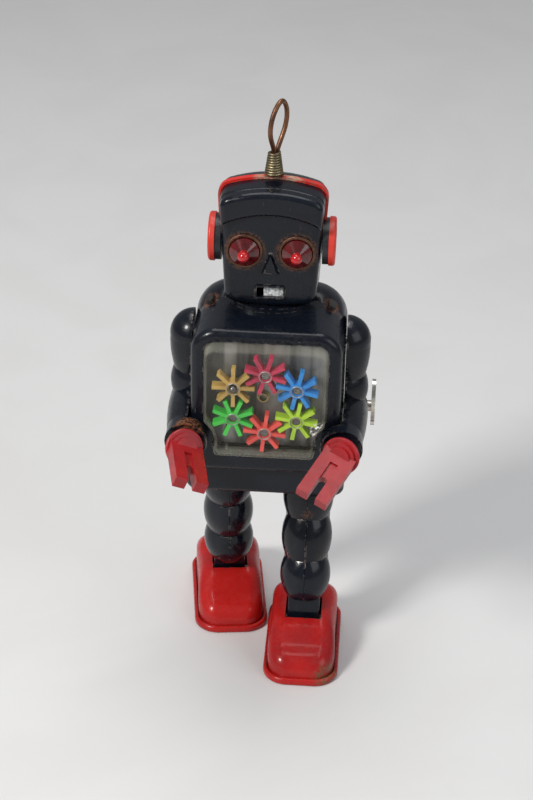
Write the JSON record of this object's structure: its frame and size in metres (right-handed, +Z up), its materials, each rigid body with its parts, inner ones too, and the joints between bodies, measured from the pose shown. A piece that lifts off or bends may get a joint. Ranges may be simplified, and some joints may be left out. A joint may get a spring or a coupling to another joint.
{
  "type": "toy robot",
  "caption": "Wind-up walking tin robot with a clear chest window over turning star wheels, clawed hands, a loop antenna, box feet and a side key.",
  "frame": {"origin": "on the floor under the centre of the whole robot's outline, seen from above", "axes": "+Z up, -Y the way the robot faces, +X to the robot's own left"},
  "size_m": [0.084, 0.1157, 0.2479],
  "materials": {
    "dark_tin": "gloss lithograph, worn edges",
    "red_tin": "gloss, chipped at the edges",
    "plate": "satin, vertical stripes",
    "window": "clear moulded plastic",
    "red_plastic": "gloss",
    "ear_red": "satin",
    "black_plastic": "satin",
    "band": "gloss, worn through on top",
    "eye_rim": "worn",
    "eye_lens": "translucent",
    "mouth": "rough",
    "roller": "satin",
    "steel": "satin",
    "nickel": "tarnished plating",
    "brass": "dull",
    "copper": "dark, tarnished",
    "green_wheel": "translucent",
    "tan_wheel": "translucent",
    "crimson_wheel": "translucent",
    "blue_wheel": "translucent",
    "lime_wheel": "translucent",
    "coral_wheel": "translucent"
  },
  "bodies": {
    "root": {"torso_front": "dark_tin", "torso_back": "dark_tin", "shoulder_tabs": "steel", "window_cover": "window", "wheel_plate": "plate", "drive_collar": "brass", "star_pins": "steel", "head_front": "dark_tin", "head_back": "dark_tin", "head_band": "band", "eye_rims": "eye_rim", "right_eye_lens": "eye_lens", "left_eye_lens": "eye_lens", "right_ear": "ear_red", "left_ear": "ear_red", "ear_drums": "black_plastic", "mouth_insert": "mouth", "neck_collar": "dark_tin", "antenna_spring": "brass", "antenna_loop": "copper", "shoulder_pivots": "steel", "waist_block": "dark_tin", "hip_axle": "steel", "motor_frame": "steel", "mainspring": "steel"},
    "right_arm": {"right_arm_outer": "dark_tin", "right_arm_inner": "dark_tin"},
    "left_arm": {"left_arm_outer": "dark_tin", "left_arm_inner": "dark_tin"},
    "right_hand": {"right_hand": "red_plastic"},
    "left_hand": {"left_hand": "red_plastic"},
    "left_leg": {"left_leg_left_half": "dark_tin", "left_leg_right_half": "dark_tin", "left_ankle_block": "dark_tin", "left_leg_lever": "steel"},
    "right_leg": {"right_leg_left_half": "dark_tin", "right_leg_right_half": "dark_tin", "right_ankle_block": "dark_tin", "right_leg_lever": "steel"},
    "left_foot": {"left_foot_upper": "red_tin", "left_foot_sole": "red_tin", "left_ankle_pin": "steel"},
    "right_foot": {"right_foot_upper": "red_tin", "right_foot_sole": "red_tin", "right_ankle_pin": "steel"},
    "left_roller": {"left_foot_roller": "roller"},
    "right_roller": {"right_foot_roller": "roller"},
    "green_star": {"green_star_wheel": "green_wheel", "star_spindle": "steel"},
    "tan_star": {"tan_star_wheel": "tan_wheel"},
    "crimson_star": {"crimson_star_wheel": "crimson_wheel"},
    "blue_star": {"blue_star_wheel": "blue_wheel"},
    "lime_star": {"lime_star_wheel": "lime_wheel"},
    "coral_star": {"coral_star_wheel": "coral_wheel"},
    "great_wheel": {"great_wheel": "brass"},
    "second_wheel": {"second_wheel": "brass"},
    "friction_disc": {"friction_disc": "steel"},
    "crank_axle": {"crank_axle": "steel"},
    "winding": {"winding_arbor": "steel", "winding_key": "nickel"}
  },
  "joints": [
    {"name": "right_shoulder", "type": "hinge", "parent": "root", "child": "right_arm", "pos_m": [-0.03075, 0.004, 0.146], "axis": [1, 0, 0], "range_deg": [-75, 0]},
    {"name": "left_shoulder", "type": "hinge", "parent": "root", "child": "left_arm", "pos_m": [0.03075, 0.004, 0.146], "axis": [1, 0, 0], "range_deg": [-75, 0]},
    {"name": "right_wrist", "type": "hinge", "parent": "right_arm", "child": "right_hand", "pos_m": [-0.0308, -0.0342, 0.115], "axis": [0.388, -0.8156, 0.4293], "range_deg": [-90, 90]},
    {"name": "left_wrist", "type": "hinge", "parent": "left_arm", "child": "left_hand", "pos_m": [0.0308, -0.0342, 0.115], "axis": [-0.3185, -0.9297, 0.1849], "range_deg": [-90, 90]},
    {"name": "left_leg_swing", "type": "hinge", "parent": "root", "child": "left_leg", "pos_m": [0.0174, 0.0103, 0.0883], "axis": [1, 0, 0], "range_deg": [0, 26]},
    {"name": "right_leg_swing", "type": "hinge", "parent": "root", "child": "right_leg", "pos_m": [-0.0174, 0.0103, 0.0883], "axis": [1, 0, 0], "range_deg": [-26, 0]},
    {"name": "left_ankle", "type": "hinge", "parent": "left_leg", "child": "left_foot", "pos_m": [0.0174, -0.00662, 0.015], "axis": [1, 0, 0], "range_deg": [-26, 0]},
    {"name": "right_ankle", "type": "hinge", "parent": "right_leg", "child": "right_foot", "pos_m": [-0.0174, 0.02722, 0.015], "axis": [1, 0, 0], "range_deg": [0, 26]},
    {"name": "left_roller_spin", "type": "hinge", "parent": "left_foot", "child": "left_roller", "pos_m": [0.0174, -0.01962, 0.0037], "axis": [1, 0, 0], "continuous": true},
    {"name": "right_roller_spin", "type": "hinge", "parent": "right_foot", "child": "right_roller", "pos_m": [-0.0157, 0.01433, 0.0037], "axis": [0.9914, 0.1305, 0], "continuous": true},
    {"name": "green_star_spin", "type": "hinge", "parent": "root", "child": "green_star", "pos_m": [-0.01255, -0.024, 0.12448], "axis": [0, 1, 0], "continuous": true},
    {"name": "tan_star_spin", "type": "hinge", "parent": "root", "child": "tan_star", "pos_m": [-0.01255, -0.024, 0.1384], "axis": [0, 1, 0], "continuous": true},
    {"name": "crimson_star_spin", "type": "hinge", "parent": "root", "child": "crimson_star", "pos_m": [0, -0.024, 0.14442], "axis": [0, 1, 0], "continuous": true},
    {"name": "blue_star_spin", "type": "hinge", "parent": "root", "child": "blue_star", "pos_m": [0.01255, -0.024, 0.1384], "axis": [0, 1, 0], "continuous": true},
    {"name": "lime_star_spin", "type": "hinge", "parent": "root", "child": "lime_star", "pos_m": [0.01255, -0.024, 0.12448], "axis": [0, 1, 0], "continuous": true},
    {"name": "coral_star_spin", "type": "hinge", "parent": "root", "child": "coral_star", "pos_m": [0, -0.024, 0.11846], "axis": [0, 1, 0], "continuous": true},
    {"name": "friction_disc_spin", "type": "hinge", "parent": "root", "child": "friction_disc", "pos_m": [0, 0.001, 0.12448], "axis": [1, 0, 0], "continuous": true},
    {"name": "second_wheel_spin", "type": "hinge", "parent": "root", "child": "second_wheel", "pos_m": [0, 0.0088, 0.11649], "axis": [1, 0, 0], "continuous": true},
    {"name": "great_wheel_spin", "type": "hinge", "parent": "root", "child": "great_wheel", "pos_m": [0, 0.0166, 0.1085], "axis": [1, 0, 0], "continuous": true},
    {"name": "crank_axle_spin", "type": "hinge", "parent": "root", "child": "crank_axle", "pos_m": [0, 0.0078, 0.10163], "axis": [1, 0, 0], "continuous": true},
    {"name": "key_winding", "type": "hinge", "parent": "root", "child": "winding", "pos_m": [0, 0.0166, 0.1085], "axis": [1, 0, 0], "continuous": true}
  ],
  "couplings": [
    {"joint": "right_leg_swing", "follows": "left_leg_swing", "ratio": -1},
    {"joint": "left_ankle", "follows": "left_leg_swing", "ratio": -1},
    {"joint": "right_ankle", "follows": "left_leg_swing", "ratio": 1},
    {"joint": "tan_star_spin", "follows": "green_star_spin", "ratio": -1},
    {"joint": "crimson_star_spin", "follows": "green_star_spin", "ratio": 1},
    {"joint": "blue_star_spin", "follows": "green_star_spin", "ratio": -1},
    {"joint": "lime_star_spin", "follows": "green_star_spin", "ratio": 1},
    {"joint": "coral_star_spin", "follows": "green_star_spin", "ratio": -1},
    {"joint": "friction_disc_spin", "follows": "green_star_spin", "ratio": 0.40698},
    {"joint": "second_wheel_spin", "follows": "green_star_spin", "ratio": -0.10174},
    {"joint": "great_wheel_spin", "follows": "green_star_spin", "ratio": 0.025436},
    {"joint": "crank_axle_spin", "follows": "green_star_spin", "ratio": -0.10174}
  ]
}
